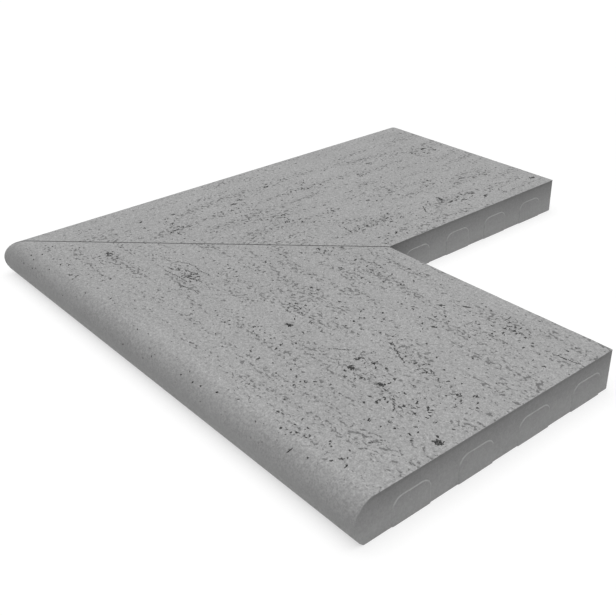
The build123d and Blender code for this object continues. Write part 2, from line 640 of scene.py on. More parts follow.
far_rows = [
    ((183, 90), (190, 96), 1.6), ((403, 249), (395, 262), 2.4), ((354, 88), (346, 97), 1.8),
    ((297, 231), (295, 246), 2.4), ((434, 241), (432, 252), 3.0),
]
near_clusters = [
    (462, 128, 22, 20, 75), (520, 112, 32, 22, 110), (540, 148, 20, 12, 50), (490, 160, 26, 8, 40),
    (330, 245, 60, 20, 110), (258, 240, 12, 12, 45), (490, 250, 50, 20, 110), (500, 264, 16, 10, 40),
    (420, 215, 30, 22, 40), (345, 136, 34, 10, 60), (238, 158, 20, 14, 40), (321, 181, 8, 7, 28),
    (112, 72, 13, 9, 30), (210, 108, 24, 8, 45), (345, 93, 34, 8, 40), (500, 30, 45, 10, 70),
    (158, 40, 16, 5, 18), (440, 75, 60, 14, 50), (120, 25, 60, 8, 25), (420, 175, 60, 20, 40),
]
far_clusters = [
    (455, 262, 26, 12, 90), (500, 268, 18, 10, 35), (335, 243, 28, 12, 90), (318, 280, 18, 8, 24),
    (537, 226, 10, 7, 24), (535, 118, 18, 12, 34), (350, 112, 32, 12, 80), (240, 108, 22, 22, 95),
    (160, 100, 18, 24, 80), (262, 170, 18, 26, 60), (458, 205, 28, 9, 44), (316, 187, 8, 10, 20),
    (422, 122, 14, 9, 20), (318, 71, 11, 6, 16), (200, 75, 20, 12, 26), (380, 180, 40, 25, 40),
]
print(len(near_large), "and", len(far_large), "large pits on the near and the far leg")

# %% Fill in the large pits
big_mark = 6
small_mark = 0.7
large_turn = 0.5


def large_pits(draw, marks):
    """A void for each mark. All but the biggest marks are drawn generously, so they are made smaller."""
    pits = []
    for along, across, length, width in marks:
        turn = draw.uniform(-large_turn, large_turn)
        if width > length:
            length, width = width, length
            turn += math.pi / 2
        spot = mm if length > big_mark else small_mark * mm
        pits += ragged_pits(draw, along * mm, unroll(across * mm), length * spot, width * spot, turn)
    return pits


print("marks up to", big_mark, "mm long are made", small_mark, "of their size")

# %% Fill in the rows
row_gap = 0.9
row_bow = 0.12
row_wander = (0.4, 0.7)
row_turn = 0.8
row_pit_length = 1.3
row_pit_widths = (0.3, 0.8)


def pit_rows(draw, marks):
    """Pits in a bowed and crooked row, from each mark's start to its end."""
    pits = []
    for start, end, width in marks:
        way = math.atan2(end[1] - start[1], end[0] - start[0])
        steps = max(2, round(math.dist(start, end) / (row_gap * width)))
        bow = draw.uniform(-row_bow, row_bow) * math.dist(start, end)
        for i in range(steps + 1):
            share = i / steps
            along = start[0] + (end[0] - start[0]) * share
            along += draw.uniform(-row_wander[0], row_wander[0])
            across = start[1] + (end[1] - start[1]) * share + bow * 4 * share * (1 - share)
            across += draw.uniform(-row_wander[1], row_wander[1])
            turn = way + draw.uniform(-row_turn, row_turn)
            length = row_pit_length * width * mm
            thin = width * draw.uniform(*row_pit_widths) * mm
            pits += ragged_pits(draw, along * mm, unroll(across * mm), length, thin, turn)
    return pits


print(len(near_rows) + len(far_rows), "rows, with a pit about every", row_gap, "of their width")

# %% Fill in the clusters, and gather each leg's pits
cluster_edge = 1.6
cluster_smallest = 0.8
cluster_range = 2.0
cluster_rarity = 3
cluster_turn = 1.5
cluster_stretch = (1.0, 2.0)


def pit_clusters(draw, marks):
    """A cloud of small pits round each mark's middle, thickest there."""
    pits = []
    for along, across, length, width, count in marks:
        for i in range(count):
            place_along = along + draw.gauss(0, length / cluster_edge)
            place_across = across + draw.gauss(0, width / cluster_edge)
            size = cluster_smallest + cluster_range * draw.random() ** cluster_rarity
            turn = draw.uniform(-cluster_turn, cluster_turn)
            long = size * draw.uniform(*cluster_stretch)
            up = unroll(place_across * mm)
            pits += ragged_pits(draw, place_along * mm, up, long * mm, size * mm, turn)
    return pits


def chosen_pits(seed, large, rows_of_pits, clusters):
    """The pits of a leg that stand out, on its sheet."""
    draw = random.Random(seed)
    pits = large_pits(draw, large) + pit_rows(draw, rows_of_pits) + pit_clusters(draw, clusters)
    print(len(pits), "placed pits")
    return pits


near_pits = near_small + chosen_pits(1, near_large, near_rows, near_clusters)
far_pits = far_small + chosen_pits(2, far_large, far_rows, far_clusters)

# %% [markdown]
# ## The rim
#
# Where the top meets a wall the edge isn't sharp: it is broken by a millimetre or so, unevenly, with a
# few small chips. A bevel would round it all alike. So the rim is a list of stations round the stone,
# each with its sharp corner, a point on the face, a point on the wall and a rounding between them. Face
# and walls are then made to end on those points, and everything meets without a gap.

# %% How much of the edge is gone, from place to place
rim_break = 0.8 * mm
rim_uneven = 0.3 * mm
least_gone = 0.4 * mm
most_gone = 1.3 * mm
coarse_scale = 60
fine_scale = 210
chip_scale = 95
chips_above = 0.42
chip_size = 3 * mm


def even_steps(start, end, step):
    """Places from start to end, both included, about a step apart."""
    count = max(1, round(abs(end - start) / step))
    return [start + (end - start) * i / count for i in range(count + 1)]


def broken_edge(along, side):
    """How much of the edge is gone: it wavers coarsely and finely, and chips where a third noise peaks."""
    coarse = noise.noise(Vector((along * coarse_scale, side, 0.5)))
    fine = 0.5 * noise.noise(Vector((along * fine_scale, side, 7.5)))
    peak = noise.noise(Vector((along * chip_scale, side, 21.5)))
    chip = max(0.0, peak - chips_above) * chip_size
    return min(most_gone, max(least_gone, rim_break + rim_uneven * (coarse + fine) + chip))


breaks = [broken_edge(along, 0) for along in even_steps(leg_width, leg_length, mm)]
print(f"the inner edge is broken by {min(breaks) / mm:.2f} to {max(breaks) / mm:.2f} mm")

# %% Stations of the rim along the inner wall and round the upright corner
groove_half = 0.8 * mm
station_step = 5 * mm
corner_steps = 5
mitre_start = leg_width + groove_half * math.sqrt(2)
flat_end = leg_length - corner_round


def mitre_station():
    """The station at the inner end of the mitre, where the two legs meet."""
    corner = Vector((mitre_start, leg_width, thickness))
    face = corner - Vector((rim_break, rim_break, 0))
    low = thickness - rim_break
    wall = Vector((leg_width - lean(low), leg_width - lean(low), low))
    return corner, face, wall, unroll(face.y)


def inner_stations(side):
    """Stations along the inner wall. The last leans back both ways, as the upright corner does."""
    stations = []
    for along in even_steps(mitre_start, flat_end, station_step)[1:]:
        gone = broken_edge(along, side)
        low = thickness - gone
        slant = min(1.0, max(0.0, (along - flat_end + station_step) / station_step)) * lean(low)
        corner = Vector((along, leg_width, thickness))
        face = corner - Vector((0, gone, 0))
        stations.append((corner, face, Vector((along - slant, leg_width - lean(low), low)), unroll(face.y)))
    return stations


def corner_stations(side):
    """Stations round the upright corner, after the last of the inner wall."""
    gone = max(rim_break, broken_edge(flat_end, side))
    back = lean(thickness - gone)
    stations = []
    for i in range(1, corner_steps + 1):
        a = math.pi / 2 * (1 - i / corner_steps)
        away = Vector((math.cos(a), math.sin(a), 0))
        corner = Vector((flat_end, leg_width - corner_round, thickness)) + corner_round * away
        face = corner - gone * away
        stations.append((corner, face, corner - Vector((back, back, gone)), unroll(face.y)))
    return stations


print(1 + len(inner_stations(0)), "stations along the inner wall,", corner_steps, "round the corner")

# %% Stations of the rim along the end wall and down the rounded edge
end_wall_place = 1.0


def end_stations(side):
    """Stations along the end wall. Its breaks are read from the noise a metre further on."""
    stations = []
    for across in even_steps(leg_width - corner_round, nose_reach, station_step)[1:]:
        near_edge = across <= nose_reach + station_step
        gone = rim_break if near_edge else broken_edge(across + end_wall_place, side)
        low = thickness - gone
        corner = Vector((leg_length, across, thickness))
        face = corner - Vector((gone, 0, 0))
        stations.append((corner, face, Vector((leg_length - lean(low), across, low)), unroll(across)))
    return stations


def edge_stations():
    """Stations down the end of the rounded edge. The last, on the bed, stays level."""
    stations = []
    for up, row in reversed(list(zip(row_heights[:-1], rows[:-1]))):
        across, height, normal_across, normal_up = row
        if up == 0.0:
            normal_across, normal_up = -1.0, 0.0
        corner = Vector((leg_length - lean(height), across, height))
        wall = Vector((0, across - rim_break * normal_across, height - rim_break * normal_up))
        wall.x = leg_length - lean(wall.z)
        stations.append((corner, corner - Vector((rim_break, 0, 0)), wall, up))
    return stations


def rim_stations(side):
    """Sharp corner, face point, wall point and place up the sheet of each station, along, in and up."""
    inner_side = [mitre_station()] + inner_stations(side) + corner_stations(side)
    return inner_side + end_stations(side) + edge_stations()


rims = {side: rim_stations(side) for side in (0, 1)}
print(len(rims[0]), "stations on each leg's rim")

# %% The rounding at a station
round_steps = 3


def rounding(corner, face, wall):
    """Points from the face to the wall, round the corner that was broken."""
    hub = face + wall - corner
    points = []
    for i in range(round_steps + 1):
        a = math.pi / 2 * i / round_steps
        points.append(hub + (face - hub) * math.cos(a) + (wall - hub) * math.sin(a))
    return points


print(len(rounding(*rims[0][0][:3])), "points from the face to the wall")

# %% [markdown]
# ## Laying a sheet
#
# Every surface of the stone is now a flat outline with lines that have to be kept as edges: pit rims on
# the top, pad outlines on the walls. Filling such an outline with triangles by hand would be hopeless. A
# constrained Delaunay triangulation does it: it keeps the lines, adds a corner where two of them cross,
# and makes the triangles as even as it can.

# %% One mesh takes all sheets
skin = bmesh.new()
# The pit value paints the pits and the groove darker: dust, and painted shade
pit_dust_and_shade_layer = skin.verts.layers.float.new("pit")
top_layer = skin.verts.layers.float.new("top")
# Painted highlight on the ledges round the pads' tops
ledge_highlight_layer = skin.verts.layers.float.new("ledge_highlight")
closest = 0.01 * mm
print("an empty skin, ready for its sheets")


# %% Place a leg's points in the frame, and fill an outline with triangles
def to_frame(point, side):
    """A point that is given along a leg, in and up, placed in the frame. Side 1 is the leg along Y."""
    along, across, height = point
    if side:
        along, across = across, along
    return Vector((outer + along, outer + across, height))


def fill(border, lines, dots):
    """Triangles inside a border, with the lines kept as edges: corners, triples and corners' sources."""
    flat = list(border)
    edges = [(i, (i + 1) % len(border)) for i in range(len(border))]
    for line, closed in lines:
        first = len(flat)
        flat += line
        edges += [(first + i, first + i + 1) for i in range(len(line) - 1)]
        if closed:
            edges.append((first + len(line) - 1, first))
    flat += dots
    # The 1 asks for triangles inside the border alone
    corners, _, triples, sources, _, _ = geometry.delaunay_2d_cdt(flat, edges, [], 1, closest)
    return corners, triples, sources


unit_square = [Vector(corner) for corner in ((0, 0), (1, 0), (1, 1), (0, 1))]
square_triples = fill(unit_square, [], [Vector((0.5, 0.5))])[1]
print("a square with a dot in its middle:", len(square_triples), "triangles")


# %% Add a sheet or a strip to the skin
def add_sheet(side, border, border_points, lines, dots, place, pits=None, tops=None, ledge_highlight=None):
    """Add one sheet to the stone. The border's own points are used as they are, so that neighbours meet."""
    corners, triples, sources = fill(border, lines, dots)
    depths = pits(corners) if pits else [(0.0, 0.0)] * len(corners)
    made = []
    for corner, source, (depth, share) in zip(corners, sources, depths):
        known = [i for i in source if i < len(border)]
        point = border_points[known[0]] if known else place(corner, depth)
        vert = skin.verts.new(to_frame(point, side))
        vert[pit_dust_and_shade_layer] = share
        vert[top_layer] = tops(corner) if tops else 0.0
        vert[ledge_highlight_layer] = ledge_highlight(corner) if ledge_highlight else 0.0
        made.append(vert)
    for triple in triples:
        skin.faces.new([made[i] for i in triple])
    return len(triples)


def add_strip(side, first_line, second_line, dust_and_shade=(0.0, 0.0), finish=None):
    """Quads between two lines of points, with the lines' painted darkness for dust and shade, and the first
    line's top values.
    """
    a = [skin.verts.new(to_frame(point, side)) for point in first_line]
    b = [skin.verts.new(to_frame(point, side)) for point in second_line]
    for line, value in zip((a, b), dust_and_shade):
        for vert in line:
            vert[pit_dust_and_shade_layer] = value
    for vert, value in zip(a, finish or []):
        vert[top_layer] = value
    for i in range(len(a) - 1):
        skin.faces.new((a[i], a[i + 1], b[i + 1], b[i]))


print(len(skin.verts), "corners so far")

# %% [markdown]
# ## The pitted face
#
# Each leg's sheet runs from the bed, round the edge and over the top to the rim. The first leg's mitre
# side and the second's follow the same line, half a groove apart.

# %% Depth of a sheet's corners
def depths_from(pits):
    """A function that gives each corner of a sheet its depth, and how deep in its pit it lies times the
    pit's painted darkness, for dust and shade.
    """
    def measure(corners):
        tree = kdtree.KDTree(len(corners))
        for i, corner in enumerate(corners):
            tree.insert(corner.to_3d(), i)
        tree.balance()
        depths = [(0.0, 0.0)] * len(corners)
        for pit in pits:
            for _, i, _ in tree.find_range(pit["middle"].to_3d(), pit["reach"]):
                depth = pit_depth(pit, corners[i])
                if depth > depths[i][0]:
                    depths[i] = (depth, depth / pit["depth"] * pit["shade"])
        return depths
    return measure


def on_face(corner, depth):
    """A place on the rolled-up sheet, sunk by a depth."""
    across, height, normal_across, normal_up = roll_up(corner.y)
    return Vector((corner.x, across - depth * normal_across, height - depth * normal_up))


def top_share(corner):
    """1 on the flat top, falling to 0 at the foremost line."""
    foremost = row_heights[undercut_steps]
    return max(0.0, min(1.0, (corner.y - foremost) / (crown - foremost)))


def face_finish(corner):
    """How much of the top's finish the face has: all of it on the top and at the foot, and none between."""
    return max(top_share(corner), 1 - corner.y / row_heights[undercut_steps])


print("sheet corner at the crown:", [round(v / mm, 1) for v in on_face(Vector((0.1, crown)), 0.0)])

# %% The borders of a face
def groove_share(up):
    """How much of the groove is there: none below the foremost line, all of it on the top."""
    return top_share(Vector((0, up))) ** 0.5


def mitre_side():
    """The face's border along the mitre, as places on the sheet."""
    flat_steps = even_steps(0, leg_width - rim_break - nose_reach, station_step)[1:-1]
    ups = row_heights + [crown + step for step in flat_steps]
    places = []
    for up in ups:
        across = roll_up(up)[0]
        places.append(Vector((across + groove_half * math.sqrt(2) * groove_share(up), up)))
    return places


def foot_side(end):
    """Places along the foot, from the far end back towards the mitre."""
    foot = rows[0][0]
    return [Vector((along, 0.0)) for along in even_steps(end, foot, station_step)[1:-1]]


print(len(mitre_side()), "places along the mitre")

# %% Keep the pits off the borders
edge_margin = 3.4 * mm
mitre_margin = 0.7 * mm


def kept(pits):
    """Pits that stay clear of the borders."""
    clear = []
    for pit in pits:
        inside = True
        for corner in pit["rim"]:
            across = roll_up(corner.y)[0]
            past_mitre = corner.x - across > groove_half * math.sqrt(2) + mitre_margin
            short_of_end = corner.x < leg_length - edge_margin and across < leg_width - edge_margin
            above_foremost = corner.y > row_heights[undercut_steps] + mitre_margin
            inside = inside and past_mitre and short_of_end and above_foremost
        if inside:
            clear.append(pit)
    return clear


face_pits = [kept(near_pits), kept(far_pits)]
print(len(face_pits[0]), "and", len(face_pits[1]), "pits are kept")

# %% Corners between the pits, and the pits' own lines
dot_step = 9 * mm
row_step = 5 * mm
dot_wander = 0.2


def face_dots(seed):
    """Loose corners that keep the triangles even: in rows round the edge, and spread over the top."""
    draw = random.Random(seed)
    dots = []
    for up in row_heights[1:]:
        across = roll_up(up)[0]
        row = even_steps(across + row_step, leg_length - row_step, row_step)
        dots += [Vector((along, up)) for along in row]
    for across in even_steps(nose_reach + dot_step, leg_width - dot_step, dot_step):
        for along in even_steps(across + dot_step, leg_length - dot_step, dot_step):
            shift_along = draw.uniform(-dot_wander, dot_wander) * dot_step
            shift_up = draw.uniform(-dot_wander, dot_wander) * dot_step
            dots.append(Vector((along + shift_along, unroll(across) + shift_up)))
    return dots


def pit_lines(pits):
    """The rims and floor outlines, as closed lines, and the middles, as dots."""
    lines = []
    for pit in pits:
        lines.append((pit["rim"], True))
        if pit["floor"]:
            middle = pit["middle"]
            lines.append(([middle + (corner - middle) * pit["floor"] for corner in pit["rim"]], True))
    return lines, [pit["middle"] for pit in pits]


print(len(face_dots(0)), "dots on the near leg")

# %% Lay the pitted face of each leg
for side, pits in enumerate(face_pits):
    stations = rims[side]
    border = mitre_side()
    first = len(border)
    border += [Vector((station[1].x, station[3])) for station in stations]
    border += foot_side(stations[-1][1].x)
    border_points = [on_face(place, 0.0) for place in border]
    border_points[first:first + len(stations)] = [station[1] for station in stations]
    lines, middles = pit_lines(pits)
    dots = face_dots(side) + middles
    count = add_sheet(side, border, border_points, lines, dots, on_face, depths_from(pits), face_finish)
    print("leg", side, len(pits), "pits,", count, "triangles")

# %% [markdown]
# ## The groove and the broken rim
#
# Both are strips between two lines of points. The groove is a shallow V: each leg gives one flank, and
# they share the line at its bottom. It fades out on the rounding, where the two legs meet in one edge. A
# narrow lip along each flank lets the colour change in a short way from the light top to the groove's
# painted shade.

# %% The groove's edge and its bottom
groove_depth = 1.6 * mm
lip_share = 0.15


def groove_lines():
    """The groove's edge on the first leg, and its bottom line."""
    edge = []
    bottom = []
    for place in mitre_side():
        across, height, normal_across, normal_up = roll_up(place.y)
        depth = groove_depth * groove_share(place.y)
        edge.append(Vector((place.x, across, height)))
        inward = across - depth * normal_across
        bottom.append(Vector((inward, inward, height - depth * normal_up)))
    corner, face, wall, _ = rims[0][0]
    for i, point in enumerate(rounding(corner, face, wall)):
        a = math.pi / 2 * i / round_steps
        depth = groove_depth * math.cos(a)
        edge.append(point)
        inward = point.y - depth * math.sin(a)
        bottom.append(Vector((inward, inward, point.z - depth * math.cos(a))))
    return edge, bottom


edge, bottom = groove_lines()
print(len(edge), "points along the groove")

# %% Add the groove's flanks and the rim's rounding
all_top = [1.0] * len(edge)
lip = [above.lerp(below, lip_share) for above, below in zip(edge, bottom)]
for side in (0, 1):
    # The lip and the bottom get the pits' dark value: painted shade in the groove
    add_strip(side, edge, lip, (0.0, 1.0), all_top)
    add_strip(side, lip, bottom, (1.0, 1.0), all_top)
    rounded = [rounding(corner, face, wall) for corner, face, wall, _ in rims[side]]
    finish = [face_finish(Vector((0, station[3]))) for station in rims[side]]
    for i in range(round_steps):
        lines = [points[i] for points in rounded], [points[i + 1] for points in rounded]
        add_strip(side, *lines, finish=finish if i == 0 else None)
print(len(skin.faces), "faces so far")

# %% [markdown]
# ## The walls and their spacer pads
#
# The end and inner walls carry low pads with rounded tops, which keep neighbouring stones a joint's width
# apart. A pad's face is upright. Between the pads the wall stands back by under half a millimetre at the
# rim and by nearly twice that at the bed, so a pad stands out most at its foot. The flank round it slopes
# back to the wall.
#
# The pads could be separate blocks joined to the wall. One distance rule is shorter: how far a place on
# the wall lies outside the pad's outline says how far back the surface is there.

# %% Pad sizes and places
pad_height = 25 * mm
pad_corner = 9 * mm
pad_count = 4
end_pad_width = 38 * mm
end_pad_from_nose = 37 * mm
end_pad_from_inner = 15 * mm
inner_pad_width = 36 * mm
inner_pad_from_corner = 26 * mm
inner_pad_from_end = 25 * mm


def pad_middles(start, end, width):
    """Middles of a row of pads that fills the wall from start to end."""
    first = start + width / 2
    last = end - width / 2
    return [first + (last - first) * i / (pad_count - 1) for i in range(pad_count)]


end_pads = pad_middles(end_pad_from_nose, leg_width - end_pad_from_inner, end_pad_width)
inner_pads_from = leg_width + inner_pad_from_corner
inner_pads = pad_middles(inner_pads_from, leg_length - inner_pad_from_end, inner_pad_width)
print("pads along the end wall at", [round(middle / mm) for middle in end_pads], "mm")
print("pads along the inner wall at", [round(middle / mm) for middle in inner_pads], "mm")

# %% The rule for the wall's surface
pad_flank = 1.6
# The height over which the painted highlight on a pad's flank grows to its full strength
highlight_rise = 0.7 * pad_corner


def outside_pads(place, pads, width):
    """How far a place along and up the wall lies outside the nearest pad. Inside a pad it is negative."""
    nearest = leg_length
    for middle in pads:
        past_side = abs(place.x - middle) - (width / 2 - pad_corner)
        past_top = place.y - (pad_height - pad_corner)
        reach = math.hypot(max(past_side, 0.0), max(past_top, 0.0)) + min(max(past_side, past_top), 0.0)
        nearest = min(nearest, reach - pad_corner)
    return nearest


def set_back(place, pads, width):
    """How far the wall's surface lies behind the pads' faces, at a place along and up the wall."""
    return min(lean(place.y), max(0.0, outside_pads(place, pads, width)) / pad_flank)


def painted_ledge_highlight(place, pads, width):
    """How much painted highlight the flank round a pad gets where it faces up: fully at its top, not at all
    down its sides.
    """
    outside = outside_pads(place, pads, width)
    if not -2 * closest < outside < pad_flank * lean(place.y) + 2 * closest:
        return 0.0
    return max(0.0, min(1.0, (place.y - pad_height + pad_corner) / highlight_rise))


low_spot = Vector((end_pads[0] + 0.6 * end_pad_width, 0.0))
print(f"beside a pad's foot the wall stands {set_back(low_spot, end_pads, end_pad_width) / mm:.2f} mm back")

# %% Outlines round a pad
pad_arc_steps = 5
beside_flank = 0.15 * mm


def pad_spots(width):
    """Half a pad's outline and its mirror image: across, up, and the outward direction of each spot."""
    spots = [(-width / 2, 0.0, -1.0, 0.0)]
    for i in range(pad_arc_steps + 1):
        a = math.pi / 2 * i / pad_arc_steps
        x = -width / 2 + pad_corner * (1 - math.cos(a))
        z = pad_height - pad_corner * (1 - math.sin(a))
        spots.append((x, z, -math.cos(a), math.sin(a)))
    return spots + [(-x, z, -out, up) for x, z, out, up in reversed(spots)]


def pad_outlines(middle, width):
    """Lines from foot to foot over a pad: round its face, at its flank's foot, and just beside both."""
    lines = [[], [], [], []]
    for x, z, out, up in pad_spots(width):
        spread = pad_flank * lean(z) / (1 + pad_flank * wall_slope * up)
        for line, distance in zip(lines, (0.0, spread, -beside_flank, spread + beside_flank)):
            line.append(Vector((middle + x + distance * out, z + distance * up)))
    return lines


print(len(pad_spots(end_pad_width)), "spots on each line round a pad")

# %% A wall's lines, and places on the two walls
wall_step = 12 * mm
foot_room = 2 * mm


def wall_lines(pads, width, start, end):
    """The lines of a wall's pads, and the wall's bottom line with the feet of the pads in it."""
    outlines = []
    feet = set()
    for middle in pads:
        for line in pad_outlines(middle, width):
            outlines.append((line, False))
            feet.update((line[0].x, line[-1].x))
    between = even_steps(start, end, wall_step)[1:-1]
    plain = {along for along in between if min(abs(along - foot) for foot in feet) > foot_room}
    return outlines, [Vector((along, 0.0)) for along in sorted(plain | feet | {start, end})]


def end_place(corner, depth=0.0):
    """A place on the end wall. The walls have no pits, so the depth isn't used."""
    return Vector((leg_length - set_back(corner, end_pads, end_pad_width), corner.x, corner.y))


def inner_place(corner, depth=0.0):
    """A place on the inner wall."""
    return Vector((corner.x, leg_width - set_back(corner, inner_pads, inner_pad_width), corner.y))


def end_highlight(corner):
    """How much painted highlight a place on the end wall gets."""
    return painted_ledge_highlight(corner, end_pads, end_pad_width)


def inner_highlight(corner):
    """How much painted highlight a place on the inner wall gets."""
    return painted_ledge_highlight(corner, inner_pads, inner_pad_width)


print(f"the walls stand {lean(thickness) / mm:.2f} mm back at the rim and {lean(0) / mm:.2f} mm at the bed")

# %% Lay one wall, and the upright corner between two
corner_first = len(inner_stations(0))
corner_last = corner_first + corner_steps
low_corner = leg_length - corner_round - lean(0)
low_side = leg_width - corner_round - lean(0)


def lay_inner_wall(side, walls):
    """The inner wall's sheet. Gives its line on the bed, from the mitre to the upright corner."""
    outlines, low_line = wall_lines(inner_pads, inner_pad_width, leg_width - lean(0), low_corner)
    low = [inner_place(place) for place in low_line]
    upper = walls[:corner_first + 1]
    border = [Vector((wall.x, wall.z)) for wall in upper] + low_line[::-1]
    count = add_sheet(side, border, upper + low[::-1], outlines, [], inner_place, ledge_highlight=inner_highlight)
    print("leg", side, count, "triangles on the inner wall")
    return low


def lay_end_wall(side, walls):
    """The end wall's sheet. Gives its line on the bed, from the rounded edge to the upright corner."""
    outlines, low_line = wall_lines(end_pads, end_pad_width, walls[-1].y, low_side)
    low = [end_place(place) for place in low_line]
    upper = walls[corner_last:]
    border = [Vector((wall.y, wall.z)) for wall in upper] + low_line[1:]
    count = add_sheet(side, border, upper + low[1:], outlines, [], end_place, ledge_highlight=end_highlight)
    print("leg", side, count, "triangles on the end wall")
    return low


def lay_corner(side, walls):
    """The upright corner's strip. Gives its line on the bed, from the inner wall to the end wall."""
    low = []
    for i in range(corner_steps + 1):
        a = math.pi / 2 * (1 - i / corner_steps)
        low.append(Vector((low_corner, low_side, 0)) + corner_round * Vector((math.cos(a), math.sin(a), 0)))
    add_strip(side, walls[corner_first:corner_last + 1], low)
    return low


print("the upright corner takes stations", corner_first, "to", corner_last)

# %% Lay the walls of both legs
base_lines = []
for side in (0, 1):
    walls = [station[2] for station in rims[side]]
    inner_low = lay_inner_wall(side, walls)
    end_low = lay_end_wall(side, walls)
    corner_low = lay_corner(side, walls)
    corner, face, wall, _ = rims[side][-1]
    foot_line = [on_face(place, 0.0) for place in foot_side(face.x)][::-1]
    round_foot = rounding(corner, face, wall)[:-1]
    base_lines.append(foot_line + round_foot + end_low + corner_low[::-1][1:-1] + inner_low[::-1][:-1])
print([len(line) for line in base_lines], "points in each leg's line on the bed")

# %% [markdown]
# ## The bed
#
# The underside is one flat L. Its outline is made of the lines that the other sheets left at the bottom,
# so it closes the stone. A line just inside that outline keeps the walls' and the edge's finish from
# spreading over it.

# %% The bed's outline, and the line just inside it
bed_inset = 2 * mm
bed_step = 24 * mm
foot = Vector((rows[0][0], rows[0][0], 0))
heel = Vector((leg_width - lean(0), leg_width - lean(0), 0))
second_leg = [Vector((point.y, point.x, point.z)) for point in base_lines[1]]
bed_points = [foot] + base_lines[0] + [heel] + second_leg[::-1]

bed_near = foot.x + bed_inset
bed_middle = heel.x - bed_inset
bed_far = leg_length - lean(0) - bed_inset
turns = [(bed_near, bed_near), (bed_far, bed_near), (bed_far, bed_middle)]
turns += [(bed_middle, bed_middle), (bed_middle, bed_far), (bed_near, bed_far)]
inner_line = []
for start, end in zip(turns, turns[1:] + turns[:1]):
    steps = round(math.dist(start, end) / bed_step)
    inner_line += [Vector(start).lerp(Vector(end), i / steps) for i in range(steps)]
print(len(bed_points), "points round the bed,", len(inner_line), "on the line inside")

# %% Lay the bed
bed_dots = []
for along in even_steps(bed_near, bed_far, bed_step)[1:-1]:
    for across in even_steps(bed_near, bed_far, bed_step)[1:-1]:
        if min(along, across) < bed_middle - bed_inset:
            bed_dots.append(Vector((along, across)))


def bed_place(corner, depth):
    """A place on the bed, which is flat and has no pits."""
    return corner.to_3d()


bed_outline = [point.to_2d() for point in bed_points]
bed_count = add_sheet(0, bed_outline, bed_points, [(inner_line, True)], bed_dots, bed_place)
print(bed_count, "triangles under the stone")

# %% Join all sheets
bmesh.ops.remove_doubles(skin, verts=skin.verts, dist=2 * closest)
bmesh.ops.dissolve_degenerate(skin, edges=skin.edges, dist=closest / 10)
bmesh.ops.triangulate(skin, faces=skin.faces)
bmesh.ops.recalc_face_normals(skin, faces=skin.faces)
open_edges = sum(1 for edge in skin.edges if len(edge.link_faces) != 2)
print(len(skin.verts), "corners,", len(skin.faces), "triangles,", open_edges, "open edges")
print(f"volume {skin.calc_volume(signed=True) * 1000:.3f} litres")

# %% Make the stone's object, with sharp edges where the surface turns
sharp_turn = math.radians(24)
for face in skin.faces:
    face.smooth = True
for edge in skin.edges:
    if len(edge.link_faces) == 2 and edge.calc_face_angle(0.0) > sharp_turn:
        edge.smooth = False
corner_stone_mesh = bpy.data.meshes.new("corner_stone")
skin.to_mesh(corner_stone_mesh)
skin.free()
corner_stone_mesh.materials.append(stone)
corner_stone = bpy.data.objects.new("corner_stone", corner_stone_mesh)
bpy.context.scene.collection.objects.link(corner_stone)
print("corner_stone:", len(corner_stone_mesh.polygons), "triangles")

# %% [markdown]
# ## The finish
#
# Cast stone is a matt grey. Its colour wavers softly, in streaks along each leg, over a fine grain of
# sand. Pit floors are painted darker, for the dust they hold and as painted shade. The walls, which lay
# against the mould, are smoother. Their grey is painted with light and shade: paler towards the foot,
# darker just below the rim, and with a painted highlight on the ledges round the tops of the pads.
#
# A picture wrapped round the stone would show this too, but it has seams, and it is as coarse as its
# pixels. Here all of it comes from Object coordinates and from three values that the mesh carries: how
# deep in a pit a corner lies, which sets its painted dust and shade, how far up on the top it is, and how
# much painted highlight a pad's ledge gets.

# %% Start the material, with helpers for its numbers
roughness_of_stone = 0.9
specular_of_stone = 0.25
stone.use_nodes = True
tree = stone.node_tree
link = tree.links.new
shader = tree.nodes["Principled BSDF"]
shader.inputs["Roughness"].default_value = roughness_of_stone
shader.inputs["Specular IOR Level"].default_value = specular_of_stone


def feed(socket, value):
    """Give a socket another node's output, or a number."""
    if hasattr(value, "is_output"):
        link(value, socket)
    else:
        socket.default_value = value


def math_node(operation, first, second):
    """A Math node on two values, each a socket or a number."""
    made = add_node(tree, "ShaderNodeMath", operation=operation)
    feed(made.inputs[0], first)
    feed(made.inputs[1], second)
    return made.outputs[0]


def product(first, *others):
    """All values multiplied, one after the other."""
    total = first
    for value in others:
        total = math_node("MULTIPLY", total, value)
    return total


def ranged(value, low, high, to_low, to_high):
    """A value moved from one range to another, and held within it."""
    ends = {"From Min": low, "From Max": high, "To Min": to_low, "To Max": to_high}
    made = add_node(tree, "ShaderNodeMapRange", ends)
    link(value, made.inputs["Value"])
    return made.outputs["Result"]


def blended(factor, first, second):
    """A value between two others, each a socket or a number."""
    made = add_node(tree, "ShaderNodeMix", data_type="FLOAT")
    for name, value in (("Factor", factor), ("A", first), ("B", second)):
        feed(made.inputs[name], value)
    return made.outputs["Result"]


print("roughness", roughness_of_stone, "and specular level", specular_of_stone)

# %% What the mesh tells the material
coordinates = add_node(tree, "ShaderNodeTexCoord").outputs["Object"]
parts = add_node(tree, "ShaderNodeSeparateXYZ")
link(coordinates, parts.inputs[0])
x, y, height_up = parts.outputs
on_near_leg = math_node("GREATER_THAN", math_node("SUBTRACT", x, y), 0.0)
pit_dust_and_shade = add_node(tree, "ShaderNodeAttribute", attribute_name="pit").outputs["Fac"]
top = add_node(tree, "ShaderNodeAttribute", attribute_name="top").outputs["Fac"]
# Painted highlight on the pads' ledges
ledge_highlight = add_node(tree, "ShaderNodeAttribute", attribute_name="ledge_highlight").outputs["Fac"]
carried = [name for name in ("pit", "top", "ledge_highlight") if name in corner_stone_mesh.attributes]
print("values that the mesh carries:", carried)

